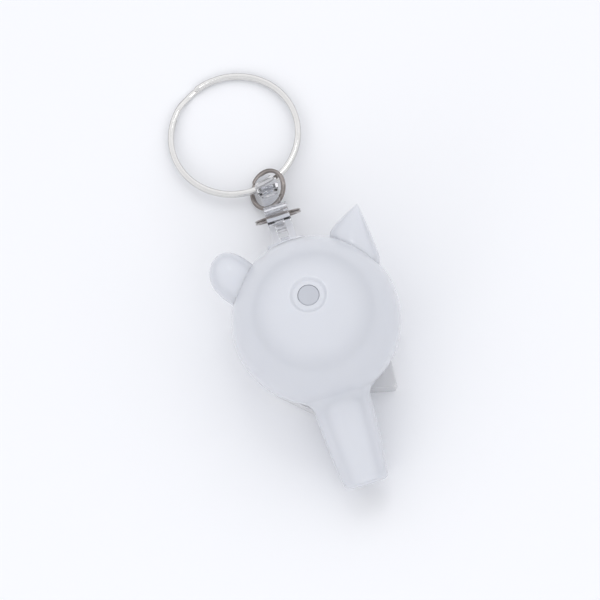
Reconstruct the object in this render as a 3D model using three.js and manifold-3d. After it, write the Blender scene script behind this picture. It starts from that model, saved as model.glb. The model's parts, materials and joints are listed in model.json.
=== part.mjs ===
// Key-ring mouse light. A hollow ball body with a drooping snout, ears and front feet,
// a push button on its back, a lamp in its nose, and a chain of small rings on a clear
// tail lug that carries a key ring.
//
// Millimetres, +Z up, snout towards -Y. The origin is the centre of the small flat under
// the belly, on the surface that the mouse stands on.

import * as THREE from "three";
import { mergeVertices } from "three/addons/utils/BufferGeometryUtils.js";
import Module from "manifold-3d";

const wasm = await Module();
wasm.setup();

// ---------------------------------------------------------------- driving sizes

const ballRadius = 15.5;
const bellyFlatDepth = 0.35;
const wall = 1.4;
const partGap = 0.3; // between pieces that touch on the real object
const seamGap = 0.2; // between the two halves of the body
const slideGap = 0.2; // around a piece that slides in a hole

const snoutDroop = 19.5; // degrees below level
const snoutLength = 31.3; // ball centre to the end of the nose
const snoutRootRadius = 5.3;
const snoutEndRadius = 4.2;
const snoutFillet = 3.0;
const noseRounding = 1.0;
const snoutSwell = 0.15; // halfway along, over a straight taper

const buttonRadius = 1.95;
const buttonTravel = 0.3;
const buttonRecess = 0.65; // button top below the crown of the ball
const buttonFlangeRadius = 3.1;
const buttonFlangeThickness = 0.8;
const dimpleRadius = 3.4;
const dimpleDepth = 0.85;
const guideDepth = 2.6; // crown of the ball to the underside of the button guide
const guideRadius = 4.2;

const switchSide = 6.0;
const switchHeight = 3.5;
const plungerRadius = 1.7;
const plungerProud = 1.1;
const plungerDepth = 1.3; // plunger inside the switch body
const switchLegLength = 1.2;
const switchLegWidth = 0.7;
const switchLegThickness = 0.25;

const boardThickness = 1.2;
const boardLength = 18.5;
const boardCornerRadius = 3.0;

const cellRadius = 3.95;
const cellThickness = 3.6;
const cellCount = 3;
const cellSpacing = 0.12;
const cellRim = 0.35; // the raised can around each cell's face
const cradleWall = 1.2;
const cradleHalfWidth = 5.1;
const contactThickness = 0.35;
const contactWidth = 4.4;
const contactTabWidth = 1.6;
const contactBump = 0.1; // raised spot on both faces

const lampRadius = 2.5;
const lampFlangeRadius = 2.9;
const lampFlangeThickness = 1.0;
const lampLength = 8.6;
const leadRadius = 0.25;
const leadSpacing = 2.54;
const leadInset = 1.1; // lead holes from the board's front edge
const leadProud = 0.5; // lead through the top of the board

const screwShankRadius = 0.95;
const screwHeadRadius = 1.8;
const screwHeadHeight = 1.3;
const screwGrip = 1.44; // screw past the middle of the seam
const screwOffset = 10.4; // from the centre plane
const screwBossWall = 0.6; // around the sunk head
const screwSocketDepth = 2.0; // head below the skin of the ball, at its rim
const screwDriveRadius = 0.9;
const screwDriveDepth = 0.6;

const earTilt = 14; // degrees above level
const earRootDepth = 3.0; // the ear's cone starts this far inside the ball

// turn: degrees from sideways towards the tail. length: tip beyond the ball. base: radius at the
// ball. fullness and roundness: powers that shape the taper, which is a cone at 1 and 1 and a
// round end at 2 and 0.5. lean: slant towards the tail for each millimetre outwards.
// flatness: thickness as a share of the width.
const earShape = {
  left: { turn: 41.5, length: 6.2, base: 4.2, fullness: 3, roundness: 0.5, lean: 0.17, flatness: 0.85 },
  right: { turn: 43.7, length: 6.9, base: 5.2, fullness: 1.15, roundness: 1, lean: 0.46, flatness: 0.55 },
};
const earSteps = 9;
const earPegRadius = 1.5;

// out: outer side from the centre plane. front: front edge from the ball centre. slant: front
// edge further back at the inner side. cut: outer front corner taken off at 45 degrees.
const footShape = {
  left: { out: 11.0, front: 13.3, slant: 0.9, cut: 6.4 },
  right: { out: 10.6, front: 12.6, slant: 1.6, cut: 0.6 },
};
const footFlare = 0.5; // outer side wider towards the rear
const footRearCut = { out: 1.7, along: 1.5 };
const footInnerSide = 3.4;
const footRearEdge = 4.2; // rear edge in front of the ball centre
const footHeight = 3.0;
const footPegRadius = 1.3;
const footPegOffset = { x: 6.8, y: 7.2 };

const tailOffset = -1.0; // tail lug from the centre plane
const lugWidth = 4.4;
const lugEyeHeight = 10.3;
const lugEyeOut = 7.8; // ball to the middle of the ring's wire in the eye
const lugEyeRadius = 1.5;
const lugEyeWall = 0.75;
const lugWindowWidth = 1.7;
const lugWindow = { near: 2.7, far: 5.3 }; // beyond the ball
const lugHeadMargin = 0.9; // head wider than the neck, each side
const lugHeadDepth = 3.2;
const lugHeadSink = 2.28; // head's inner face inside the shell's rim round it
const lugEyeDrop = 0.3; // eye below the ring's wire
const tailBossOut = 1.5; // beyond the ball
const tailBossMargin = 1.2;

const lugRingRadius = 4.4;
const linkRingRadius = 4.0;
const smallRingBand = 0.75;
const smallRingHeight = 0.8;
const keyRingRadius = 12.5;
const keyRingBand = 1.1;
const keyRingHeight = 1.2;
const coilSlit = 0.14; // groove between the two turns of a split ring
const lugRingLean = 17; // degrees from upright

const linkPitch = 9.6; // degrees, far end up
const linkShift = -0.3; // from the tail lug's plane
const linkEyeRadius = 1.3;
const linkEyeRise = 0.2; // eye above the ring's wire, which curves up to both sides
const linkNearHalfWidth = 1.65;
const linkHalfWidth = 1.6;
const linkLobeHalfWidth = 2.15;
const linkHalfHeight = 2.45;
const linkLobeHalfHeight = 0.65;
const linkLength = 8.3; // near eye to the far end
const linkSlot = { wire: 2.4, near: 1.65, far: 4.1, low: -1.95, high: 1.95 };
const linkSlotWall = 0.5;
const linkLobeStart = 5.4; // where the lobe reaches its full width

const linkRingPitch = -7.5; // degrees, far end down
const linkRingRoll = 31; // degrees, right side up
const keyRingOffset = { x: -3.2, y: 21.0 }; // centre from the wire in the lug's eye
const keyRingPitch = -3.6; // degrees, far end down
const keyRingClearance = 0.04; // under its lowest edge

// ---------------------------------------------------------------- derived places

const centreHeight = ballRadius - bellyFlatDepth;
const innerRadius = ballRadius - wall;
const screwBossRadius = screwHeadRadius + slideGap + screwBossWall;
const boardWidth = 2 * (screwOffset - screwBossRadius - partGap);
const droop = THREE.MathUtils.degToRad(snoutDroop);
const radians = THREE.MathUtils.degToRad;

const plungerTop = ballRadius - guideDepth - partGap - buttonFlangeThickness - partGap;
const switchTop = plungerTop - plungerProud;
const boardTop = switchTop - switchHeight - partGap;
const boardBottom = boardTop - boardThickness;
const cradleTop = boardBottom - partGap;
const cellAxisHeight = cradleTop - partGap - cellRadius - 1.2;
const stackHalfLength = (cellCount * cellThickness + (cellCount - 1) * cellSpacing) / 2;
const contactPlace = stackHalfLength + partGap / 2;
const cradleHalfLength = contactPlace + contactThickness + partGap + cradleWall;
const lampHoleRadius = lampRadius + slideGap;
const lampBase = snoutLength - lampLength - partGap;
const lugEyeReach = ballRadius + lugEyeOut;
const lugHeight = lugEyeHeight - centreHeight;
const lugHeadHalf = lugWidth / 2 + lugHeadMargin;
const lugHeadRim = (innerRadius - partGap) ** 2 - (Math.abs(lugHeight) + lugHeadHalf) ** 2;
const lugHeadEdge = Math.sqrt(lugHeadRim) - lugHeadSink;
const tailBossReach = ballRadius + tailBossOut;

// ---------------------------------------------------------------- shape helpers

function toSolid(geometry) {
  const plain = geometry.clone();
  plain.deleteAttribute("normal");
  plain.deleteAttribute("uv");
  const merged = mergeVertices(plain, 1e-4);
  const position = merged.getAttribute("position");
  const index = merged.index.array;
  const triangles = [];
  let volume = 0;
  const corners = [new THREE.Vector3(), new THREE.Vector3(), new THREE.Vector3()];
  for (let i = 0; i < index.length; i += 3) {
    const [a, b, c] = index.slice(i, i + 3);
    if (a === b || b === c || c === a) continue;
    triangles.push([a, b, c]);
    [a, b, c].forEach((k, n) => corners[n].fromBufferAttribute(position, k));
    volume += corners[0].dot(corners[1].clone().cross(corners[2])) / 6;
  }
  const outward = volume > 0 ? triangles : triangles.map(([a, b, c]) => [a, c, b]);
  return new wasm.Manifold(new wasm.Mesh({
    numProp: 3,
    vertProperties: new Float32Array(position.array),
    triVerts: new Uint32Array(outward.flat()),
  }));
}

function toGeometry(solid) {
  const { vertProperties, triVerts, numProp } = solid.getMesh();
  const geometry = new THREE.BufferGeometry();
  geometry.setAttribute("position", new THREE.BufferAttribute(new Float32Array(vertProperties), numProp));
  geometry.setIndex(new THREE.BufferAttribute(new Uint32Array(triVerts), 1));
  geometry.computeVertexNormals();
  return geometry;
}

function box(low, high) {
  const size = high.map((value, k) => value - low[k]);
  const middle = high.map((value, k) => (value + low[k]) / 2);
  return toSolid(new THREE.BoxGeometry(...size).translate(...middle));
}

function ball(radius, segments = 36) {
  return toSolid(new THREE.SphereGeometry(radius, segments, segments / 2));
}

// A turned solid about +Z, from [radius, height] points.
function turned(points, segments = 24) {
  const profile = points.map(([radius, height]) => new THREE.Vector2(radius, height));
  return toSolid(new THREE.LatheGeometry(profile, segments).rotateX(Math.PI / 2));
}

// A round bar along +Z.
function bar(radius, low, high, segments = 20) {
  return turned([[0, low], [radius, low], [radius, high], [0, high]], segments);
}

function prism(outline, low, high) {
  const shape = new THREE.Shape(outline.map(([x, y]) => new THREE.Vector2(x, y)));
  const geometry = new THREE.ExtrudeGeometry(shape, { depth: high - low, bevelEnabled: false });
  return toSolid(geometry.translate(0, 0, low));
}

// A prism along X, from a [y, z] outline.
function sidePrism(outline, low, high) {
  return turn(prism(outline, low, high), 90, 0, 90);
}

function arc(cx, cy, radius, from, to, steps) {
  return Array.from({ length: steps + 1 }, (_, k) => {
    const angle = radians(from + ((to - from) * k) / steps);
    return [cx + radius * Math.cos(angle), cy + radius * Math.sin(angle)];
  });
}

function turn(solid, x, y, z) {
  return solid.rotate([x, y, z]);
}

function move(solid, x, y, z) {
  return solid.translate([x, y, z]);
}

function finish(color, roughness, metalness = 0, opacity = 1) {
  return new THREE.MeshStandardMaterial({
    color, roughness, metalness, opacity, transparent: opacity < 1,
  });
}

function part(name, solid, material) {
  const mesh = new THREE.Mesh(toGeometry(solid), material);
  mesh.name = name;
  return mesh;
}

// ---------------------------------------------------------------- finishes

const milkyPlastic = () => finish(0xe6e9ee, 0.18, 0, 0.92);
const clearPlastic = () => finish(0xf2f5f7, 0.05, 0, 0.35);
const buttonGrey = () => finish(0xa9adb5, 0.45);
const steel = () => finish(0xc9ccd0, 0.18, 1);
const boardGreen = () => finish(0x2f6b45, 0.5);
const blackPlastic = () => finish(0x26272b, 0.45);
const whitePlastic = () => finish(0xdcdcd8, 0.5);
const tinned = () => finish(0xb9bcc0, 0.35, 1);

// ---------------------------------------------------------------- body halves

// The outline of ball and snout, from the tail pole to the nose, grown by an offset.
function bodyOutline(offset) {
  const radius = ballRadius + offset;
  const root = snoutRootRadius + offset;
  const end = snoutEndRadius + offset;
  const fillet = snoutFillet - offset;
  const reach = ballRadius + snoutFillet;
  const filletOut = snoutRootRadius + snoutFillet;
  const filletAlong = Math.sqrt(reach * reach - filletOut * filletOut);
  const meet = THREE.MathUtils.radToDeg(Math.atan2(filletAlong, filletOut));
  const ballArc = arc(0, 0, radius, -90, meet, 20);
  const blend = arc(filletOut, filletAlong, fillet, 180 + meet, 180, 4);
  const rounding = Math.max(noseRounding + offset, 0.2);
  const nose = snoutLength + offset;
  const noseArc = arc(end - rounding, nose - rounding, rounding, 0, 90, 3);
  const waist = [(root + end) / 2 + snoutSwell, (filletAlong + nose) / 2];
  const outline = [...ballArc, ...blend.slice(1), waist, ...noseArc];
  outline[0][0] = 0;
  return [...outline, [0, nose]];
}

// Turned about the snout line, with the snout towards -Y and drooping.
function alongSnout(solid) {
  return turn(solid, 90 + snoutDroop, 0, 0);
}

const outer = alongSnout(turned(bodyOutline(0), 40));
const inner = alongSnout(turned(bodyOutline(-wall), 32));
const lampHole = alongSnout(bar(lampHoleRadius, lampBase + lampFlangeThickness, snoutLength + 1));
const hollow = inner.add(lampHole);
const skin = outer.subtract(hollow);

const span = 3 * ballRadius;
const upperSpace = turn(box([-span, -span, seamGap / 2], [span, span, span]), snoutDroop, 0, 0);
const lowerSpace = turn(box([-span, -span, -span], [span, span, -seamGap / 2]), snoutDroop, 0, 0);

function screwAxis(solid, side) {
  return turn(move(solid, side * screwOffset, 0, 0), snoutDroop, 0, 0);
}

const headSeat = -Math.sqrt(ballRadius ** 2 - (screwOffset + screwHeadRadius) ** 2) + screwSocketDepth;
const screwTip = screwGrip;

function screwBosses(low, high) {
  const left = screwAxis(bar(screwBossRadius, low, high), -1);
  const right = screwAxis(bar(screwBossRadius, low, high), 1);
  return left.add(right).intersect(outer);
}

function screwHoles(radius, low, high) {
  return screwAxis(bar(radius, low, high), -1).add(screwAxis(bar(radius, low, high), 1));
}

function upperShell() {
  const guide = bar(guideRadius, ballRadius - guideDepth, ballRadius).intersect(outer);
  const hole = bar(buttonRadius + slideGap, 0, span);
  const crown = ballRadius + 0.01;
  const dimpleFloor = ballRadius - dimpleDepth;
  const dimple = turned([
    [0, dimpleFloor],
    [buttonRadius + slideGap + 0.15, dimpleFloor],
    [dimpleRadius - 0.45, dimpleFloor + 0.22],
    [dimpleRadius, crown - 0.36],
    [dimpleRadius + 0.25, crown + 1],
    [0, crown + 1],
  ], 32);
  const thread = screwHoles(screwShankRadius + slideGap, -1, screwTip + 1);
  const solid = skin.add(guide).add(screwBosses(0, ballRadius)).intersect(upperSpace);
  return solid.subtract(hole).subtract(dimple).subtract(thread).subtract(earSockets());
}

function lowerShell() {
  const halfBoss = lugWidth / 2 + slideGap + tailBossMargin;
  const boss = box(
    [tailOffset - halfBoss, lugHeadEdge - 1, lugHeight - halfBoss],
    [tailOffset + halfBoss, tailBossReach, lugHeight + halfBoss],
  ).subtract(inner);
  const halfNeck = lugWidth / 2 + slideGap;
  const lugPassage = box(
    [tailOffset - halfNeck, lugHeadEdge - 1, lugHeight - halfNeck],
    [tailOffset + halfNeck, tailBossReach + 1, lugHeight + halfNeck],
  );
  const belly = box([-span, -span, -span], [span, span, -centreHeight]);
  const shanks = screwHoles(screwShankRadius + slideGap, -ballRadius, 1);
  const heads = screwHoles(screwHeadRadius + slideGap, -ballRadius, headSeat + partGap);
  const solid = skin.add(screwBosses(-ballRadius, 0)).intersect(lowerSpace).add(boss);
  return solid.subtract(lugPassage).subtract(belly).subtract(shanks).subtract(heads)
    .subtract(earSockets()).subtract(footSockets());
}

// ---------------------------------------------------------------- ears and feet

function earPlace(solid, side) {
  const upright = turn(solid, 0, 90 - earTilt, 0);
  return side > 0 ? turn(upright, 0, 0, earShape.right.turn) : turn(upright, 0, 0, 180 - earShape.left.turn);
}

function earSockets() {
  const socket = bar(earPegRadius + partGap, innerRadius - 1, ballRadius + 1, 24);
  return earPlace(socket, 1).add(earPlace(socket, -1));
}

function ear(side) {
  const { length, base, fullness, roundness, lean, flatness } = side > 0 ? earShape.right : earShape.left;
  const start = ballRadius - earRootDepth;
  const flank = Array.from({ length: earSteps }, (_, k) => {
    const along = Math.sin(((k / earSteps) * Math.PI) / 2);
    return [base * (1 - along ** fullness) ** roundness, ballRadius + length * along];
  });
  const cone = turned([[0, start], [base, start], ...flank, [0, ballRadius + length]], 28);
  const slant = new THREE.Matrix4().set(
    flatness, 0, 0, 0,
    0, 1, side * lean, -side * lean * ballRadius,
    0, 0, 1, 0,
    0, 0, 0, 1,
  );
  const leaf = cone.transform(slant.elements);
  const bodyClear = ball(ballRadius + partGap);
  const peg = bar(earPegRadius, innerRadius + 0.2, ballRadius + 1, 24);
  return earPlace(leaf, side).subtract(bodyClear).add(earPlace(peg, side));
}

function footSockets() {
  const socket = bar(footPegRadius + partGap, -ballRadius, -innerRadius / 2, 24);
  return [-1, 1].map((side) => move(socket, side * footPegOffset.x, -footPegOffset.y, 0))
    .reduce((all, one) => all.add(one));
}

function foot(side) {
  const low = -centreHeight;
  const { out, front, slant, cut } = side > 0 ? footShape.right : footShape.left;
  const outline = [
    [footInnerSide, -front + slant],
    [out - cut, -front],
    [out, -front + cut],
    [out + footFlare, -footRearEdge - footRearCut.along],
    [out + footFlare - footRearCut.out, -footRearEdge],
    [footInnerSide, -footRearEdge],
  ].map(([x, y]) => [side * x, y]);
  const pad = prism(side > 0 ? outline : outline.reverse(), low, low + footHeight);
  const peg = move(bar(footPegRadius, low + 0.5, low + footHeight + 1.3, 24),
    side * footPegOffset.x, -footPegOffset.y, 0);
  return pad.subtract(ball(ballRadius + partGap)).add(peg);
}

// ---------------------------------------------------------------- button and switch

function button() {
  const top = ballRadius - buttonRecess;
  const flangeTop = ballRadius - guideDepth - partGap;
  const flangeLow = flangeTop - buttonFlangeThickness;
  return turned([
    [0, flangeLow - 0.2], [buttonRadius - 0.4, flangeLow - 0.2], [buttonRadius - 0.4, flangeLow],
    [buttonFlangeRadius, flangeLow], [buttonFlangeRadius, flangeTop], [buttonRadius, flangeTop],
    ...arc(buttonRadius - 0.25, top - 0.25, 0.25, 0, 90, 3), [0, top + 0.04],
  ], 40);
}

function switchBody() {
  const low = switchTop - switchHeight;
  const half = switchSide / 2;
  const wellFloor = switchTop - plungerDepth - buttonTravel - slideGap;
  const well = bar(plungerRadius + slideGap, wellFloor, switchTop + 1);
  let solid = box([-half, -half, low], [half, half, switchTop]).subtract(well);
  for (const x of [-1, 1]) {
    for (const y of [-1, 1]) {
      const middle = y * (half - switchLegWidth);
      const ends = [x * (half - 0.4), x * (half + switchLegLength)];
      const halfLeg = switchLegWidth / 2;
      const from = [Math.min(...ends), middle - halfLeg, low];
      const to = [Math.max(...ends), middle + halfLeg, low + switchLegThickness];
      solid = solid.add(box(from, to));
    }
  }
  return solid;
}

function switchPlunger() {
  return bar(plungerRadius, switchTop - plungerDepth, plungerTop);
}

// ---------------------------------------------------------------- board, cells, lamp

function circuitBoard() {
  const x = boardWidth / 2 - boardCornerRadius;
  const y = boardLength / 2 - boardCornerRadius;
  const outline = [
    ...arc(x, y, boardCornerRadius, 0, 90, 5), ...arc(-x, y, boardCornerRadius, 90, 180, 5),
    ...arc(-x, -y, boardCornerRadius, 180, 270, 5), ...arc(x, -y, boardCornerRadius, 270, 360, 5),
  ];
  const holes = bar(leadRadius + slideGap, boardBottom - 1, boardTop + 1, 12);
  const place = -boardLength / 2 + leadInset;
  return prism(outline, boardBottom, boardTop)
    .subtract(move(holes, -leadSpacing / 2, place, 0)).subtract(move(holes, leadSpacing / 2, place, 0));
}

function cell() {
  const half = cellThickness / 2;
  const lip = 0.25;
  return turn(turned([
    [0, -half], [cellRadius - lip, -half], [cellRadius, -half + lip], [cellRadius, half - lip],
    [cellRadius - lip, half - 0.1], [cellRadius - lip - cellRim, half - 0.1],
    [cellRadius - lip - 2 * cellRim, half], [0, half],
  ], 28), -90, 0, 0);
}

function cradle() {
  const low = -innerRadius + partGap;
  const block = box(
    [-cradleHalfWidth, -cradleHalfLength, low],
    [cradleHalfWidth, cradleHalfLength, cradleTop],
  );
  const half = cellRadius + partGap;
  const room = contactPlace + contactThickness + partGap;
  const trough = turn(bar(half, -room, room, 40), 90, 0, 0);
  const mouth = box([-half, -room, cellAxisHeight], [half, room, cradleTop + 1]);
  return block.intersect(ball(innerRadius - partGap))
    .subtract(move(trough, 0, 0, cellAxisHeight)).subtract(mouth);
}

// A leaf with a folded tab that reaches up to the board.
function contact(side, bump) {
  const half = contactWidth / 2;
  const face = side * contactPlace;
  const back = side * (contactPlace + contactThickness);
  const low = cellAxisHeight - half;
  const near = Math.min(face, back);
  const far = Math.max(face, back);
  const leaf = box([-half, near, low], [half, far, cellAxisHeight + half]);
  const halfTab = contactTabWidth / 2;
  const tab = box([-halfTab, near, low], [halfTab, far, cradleTop + partGap / 2]);
  const knob = turn(bar(bump, -contactBump, contactBump + contactThickness, 20), -90, 0, 0);
  return leaf.add(tab).add(move(knob, 0, near, cellAxisHeight));
}

function lamp() {
  const dome = lampLength - lampRadius;
  return alongSnout(turned([
    [0, lampBase], [lampFlangeRadius, lampBase], [lampFlangeRadius, lampBase + lampFlangeThickness],
    [lampRadius, lampBase + lampFlangeThickness],
    ...arc(0, lampBase + dome, lampRadius, 0, 90, 7).slice(0, -1),
    [0, lampBase + lampLength],
  ], 32));
}

function lead(side) {
  const x = (side * leadSpacing) / 2;
  const alongLine = (reach, lift) => new THREE.Vector3(
    x, -reach * Math.cos(droop) - lift * Math.sin(droop), -reach * Math.sin(droop) + lift * Math.cos(droop));
  const up = -boardLength / 2 + leadInset;
  const route = new THREE.CatmullRomCurve3([
    alongLine(lampBase - partGap, 0), alongLine(lampBase - 4, 0.2), alongLine(lampBase - 8, 1.2),
    new THREE.Vector3(x, up - 1.6, -3.2), new THREE.Vector3(x, up, 0.4),
    new THREE.Vector3(x, up, boardTop + leadProud),
  ], false, "centripetal");
  const corners = arc(0, 0, leadRadius, 0, 300, 5).map(([a, b]) => new THREE.Vector2(a, b));
  const section = new THREE.Shape(corners);
  return toSolid(new THREE.ExtrudeGeometry(section, { steps: 18, extrudePath: route, bevelEnabled: false }));
}

function caseScrew() {
  const headTop = headSeat - screwHeadHeight;
  const drive = bar(screwDriveRadius, headTop - 1, headTop + screwDriveDepth, 6);
  return turned([
    [0, headTop], [screwHeadRadius - 0.3, headTop],
    [screwHeadRadius, headTop + 0.4], [screwHeadRadius, headSeat],
    [screwShankRadius, headSeat], [screwShankRadius, screwTip - 0.6], [0, screwTip],
  ], 24).subtract(drive);
}

// ---------------------------------------------------------------- tail lug and chain

function tailLug() {
  const half = lugWidth / 2;
  const eyeHeight = lugHeight - lugEyeDrop;
  const eyeOuter = lugEyeRadius + lugEyeWall;
  const side = [
    [lugHeadEdge + 1, lugHeight - half + 0.3], [lugEyeReach, eyeHeight - eyeOuter],
    ...arc(lugEyeReach, eyeHeight, eyeOuter, -80, 80, 10),
    [lugEyeReach, eyeHeight + eyeOuter], [lugHeadEdge + 1, lugHeight + half - 0.2],
  ];
  const neck = sidePrism(side, -half, half);
  const head = box(
    [-lugHeadHalf, lugHeadEdge, lugHeight - lugHeadHalf],
    [lugHeadHalf, lugHeadEdge + lugHeadDepth, lugHeight + lugHeadHalf],
  ).intersect(move(ball(innerRadius - partGap), -tailOffset, 0, 0));
  const window = box(
    [-lugWindowWidth / 2, ballRadius + lugWindow.near, lugHeight - 5],
    [lugWindowWidth / 2, ballRadius + lugWindow.far, lugHeight + 5],
  );
  const eye = move(turn(bar(lugEyeRadius, -5, 5, 28), 0, 90, 0), 0, lugEyeReach, eyeHeight);
  return neck.add(head).subtract(window).subtract(eye);
}

// Two turns of flat wire pressed together, drawn as one ring with the line between them.
function splitRing(radius, band, height) {
  const r = radius - band / 2;
  const half = height / 2;
  const chamfer = Math.min(band, height) * 0.18;
  const x = band / 2;
  const slit = coilSlit / 2;
  const depth = coilSlit;
  return turned([
    [r + x - depth, 0], [r + x, slit], [r + x, half - chamfer], [r + x - chamfer, half],
    [r - x + chamfer, half], [r - x, half - chamfer], [r - x, slit], [r - x + depth, 0],
    [r - x, -slit], [r - x, -half + chamfer], [r - x + chamfer, -half],
    [r + x - chamfer, -half], [r + x, -half + chamfer], [r + x, -slit], [r + x - depth, 0],
  ], radius > 10 ? 56 : 36);
}

function link() {
  const tip = linkLength - linkLobeHalfWidth;
  const neckEnd = linkSlot.far + linkSlotWall / 2;
  const plan = [
    ...arc(0, 0, linkNearHalfWidth, 180, 360, 10),
    [linkHalfWidth, linkSlot.near], [linkHalfWidth, neckEnd], [linkLobeHalfWidth, linkLobeStart],
    ...arc(0, tip, linkLobeHalfWidth, 0, 180, 14),
    [-linkLobeHalfWidth, linkLobeStart], [-linkHalfWidth, neckEnd], [-linkHalfWidth, linkSlot.near],
  ];
  const wallEnd = linkSlot.far + linkSlotWall;
  const side = [
    ...arc(0, 0, linkHalfHeight, 90, 270, 12), [wallEnd, -linkHalfHeight],
    [wallEnd + 1.5, -linkLobeHalfHeight], [linkLength + 1, -linkLobeHalfHeight],
    [linkLength + 1, linkLobeHalfHeight], [wallEnd + 1.2, linkHalfHeight - 0.5],
    [wallEnd - 0.5, linkHalfHeight],
  ];
  const reach = 3 * linkHalfHeight;
  const solid = prism(plan, -reach, reach).intersect(sidePrism(side, -reach, reach));
  const eye = move(turn(bar(linkEyeRadius, -reach, reach, 24), 0, 90, 0), 0, 0, linkEyeRise);
  const slot = sidePrism([[linkSlot.near, linkSlot.low], [linkSlot.far, linkSlot.low],
    [linkSlot.far, linkSlot.high], [linkSlot.near, linkSlot.high]], -reach, reach);
  return solid.subtract(eye).subtract(slot);
}

// ---------------------------------------------------------------- assembly

const mouse = new THREE.Group();
const body = new THREE.Group();
body.position.z = centreHeight;
mouse.add(body);

body.add(part("upper_shell", upperShell(), milkyPlastic()));
body.add(part("lower_shell", lowerShell(), milkyPlastic()));
body.add(part("ear_left", ear(-1), milkyPlastic()));
body.add(part("ear_right", ear(1), milkyPlastic()));
body.add(part("foot_left", foot(-1), clearPlastic()));
body.add(part("foot_right", foot(1), clearPlastic()));
body.add(part("button", button(), buttonGrey()));
body.add(part("switch_body", switchBody(), blackPlastic()));
body.add(part("switch_plunger", switchPlunger(), whitePlastic()));
body.add(part("circuit_board", circuitBoard(), boardGreen()));
body.add(part("battery_cradle", cradle(), blackPlastic()));
body.add(part("contact_front", contact(-1, 1.2), tinned()));
body.add(part("contact_rear", contact(1, 1.6), tinned()));
body.add(part("lamp", lamp(), clearPlastic()));
body.add(part("lamp_lead_left", lead(-1), tinned()));
body.add(part("lamp_lead_right", lead(1), tinned()));

["front", "middle", "rear"].slice(0, cellCount).forEach((place, k) => {
  const mesh = part(`cell_${place}`, cell(), steel());
  mesh.position.set(0, (k - (cellCount - 1) / 2) * (cellThickness + cellSpacing), cellAxisHeight);
  body.add(mesh);
});

for (const [name, side] of [["left", -1], ["right", 1]]) {
  const tilted = new THREE.Group();
  tilted.rotation.x = droop;
  const mesh = part(`case_screw_${name}`, caseScrew(), steel());
  mesh.position.x = side * screwOffset;
  tilted.add(mesh);
  body.add(tilted);
}

const lug = part("tail_lug", tailLug(), clearPlastic());
lug.position.x = tailOffset;
body.add(lug);

const lean = radians(lugRingLean);
const lugRingMiddle = lugRingRadius - smallRingBand / 2;
const linkRingMiddle = linkRingRadius - smallRingBand / 2;

// The lug ring's wire passes through the lug's eye at its top and the link's at its foot.
const lugRing = part("lug_ring", splitRing(lugRingRadius, smallRingBand, smallRingHeight), steel());
lugRing.position.set(tailOffset, lugEyeReach + lugRingMiddle * Math.sin(lean),
  lugEyeHeight - lugRingMiddle * Math.cos(lean));
lugRing.rotation.x = Math.PI / 2 + lean;
mouse.add(lugRing);

const linkGroup = new THREE.Group();
linkGroup.position.set(tailOffset + linkShift, lugEyeReach + 2 * lugRingMiddle * Math.sin(lean),
  lugEyeHeight - 2 * lugRingMiddle * Math.cos(lean));
linkGroup.rotation.x = radians(linkPitch);
linkGroup.add(part("link", link(), clearPlastic()));
mouse.add(linkGroup);

// The link ring hangs in the link's slot.
const linkRingGroup = new THREE.Group();
linkRingGroup.position.set(0, linkSlot.wire, 0);
linkRingGroup.rotation.set(radians(linkRingPitch - linkPitch), radians(-linkRingRoll), 0);
const linkRing = part("link_ring", splitRing(linkRingRadius, smallRingBand, smallRingHeight), steel());
linkRing.position.y = linkRingMiddle;
linkRingGroup.add(linkRing);
linkGroup.add(linkRingGroup);

const keyRing = part("split_ring", splitRing(keyRingRadius, keyRingBand, keyRingHeight), steel());
const keyRingTilt = radians(Math.abs(keyRingPitch));
const keyRingRise = keyRingRadius * Math.sin(keyRingTilt) + (keyRingHeight / 2) * Math.cos(keyRingTilt);
keyRing.position.set(
  tailOffset + keyRingOffset.x,
  lugEyeReach + keyRingOffset.y,
  keyRingRise + keyRingClearance,
);
keyRing.rotation.x = radians(keyRingPitch);
mouse.add(keyRing);

export default mouse;
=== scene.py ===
"""Key-ring mouse light: a milky ball body with a drooping snout, a push button, ears,
clear feet and a clear tail lug with a chain of rings.

Shapes are worked out in millimetres about the ball's centre or a joint of the chain, and
turned into metres when a piece is fitted to its body.
"""

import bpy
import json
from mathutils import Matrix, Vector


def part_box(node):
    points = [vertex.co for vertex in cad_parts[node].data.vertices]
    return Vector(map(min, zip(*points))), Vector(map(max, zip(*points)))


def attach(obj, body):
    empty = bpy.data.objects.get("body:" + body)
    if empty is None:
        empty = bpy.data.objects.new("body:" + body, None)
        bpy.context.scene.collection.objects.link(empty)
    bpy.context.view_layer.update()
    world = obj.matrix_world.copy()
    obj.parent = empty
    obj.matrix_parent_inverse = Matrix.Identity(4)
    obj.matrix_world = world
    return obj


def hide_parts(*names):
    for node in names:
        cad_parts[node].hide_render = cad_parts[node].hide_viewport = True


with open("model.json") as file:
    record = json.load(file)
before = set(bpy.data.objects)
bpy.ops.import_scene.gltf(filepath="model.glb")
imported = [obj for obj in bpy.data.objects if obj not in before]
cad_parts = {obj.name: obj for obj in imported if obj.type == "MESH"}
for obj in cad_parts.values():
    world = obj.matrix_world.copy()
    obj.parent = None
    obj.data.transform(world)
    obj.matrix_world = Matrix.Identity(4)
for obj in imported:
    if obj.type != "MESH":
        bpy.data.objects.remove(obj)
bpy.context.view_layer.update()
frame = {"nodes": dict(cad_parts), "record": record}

import json
from math import atan2, copysign, cos, degrees, pi, radians, sin, sqrt

import bpy
from bpy.props import FloatProperty, FloatVectorProperty, PointerProperty
from mathutils import Matrix, Vector

bl_info = {
    "name": "Key-ring mouse light",
    "version": (1, 0, 0),
    "blender": (4, 5, 0),
    "location": "View3D > Sidebar > Mouse",
    "description": "Builds the mouse, its lamp works and its chain of rings around the packed frame",
    "category": "Object",
}

MM = 0.001
JOINTS = {joint["name"]: joint for joint in frame["record"]["behaviour"]["joints"]}

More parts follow.
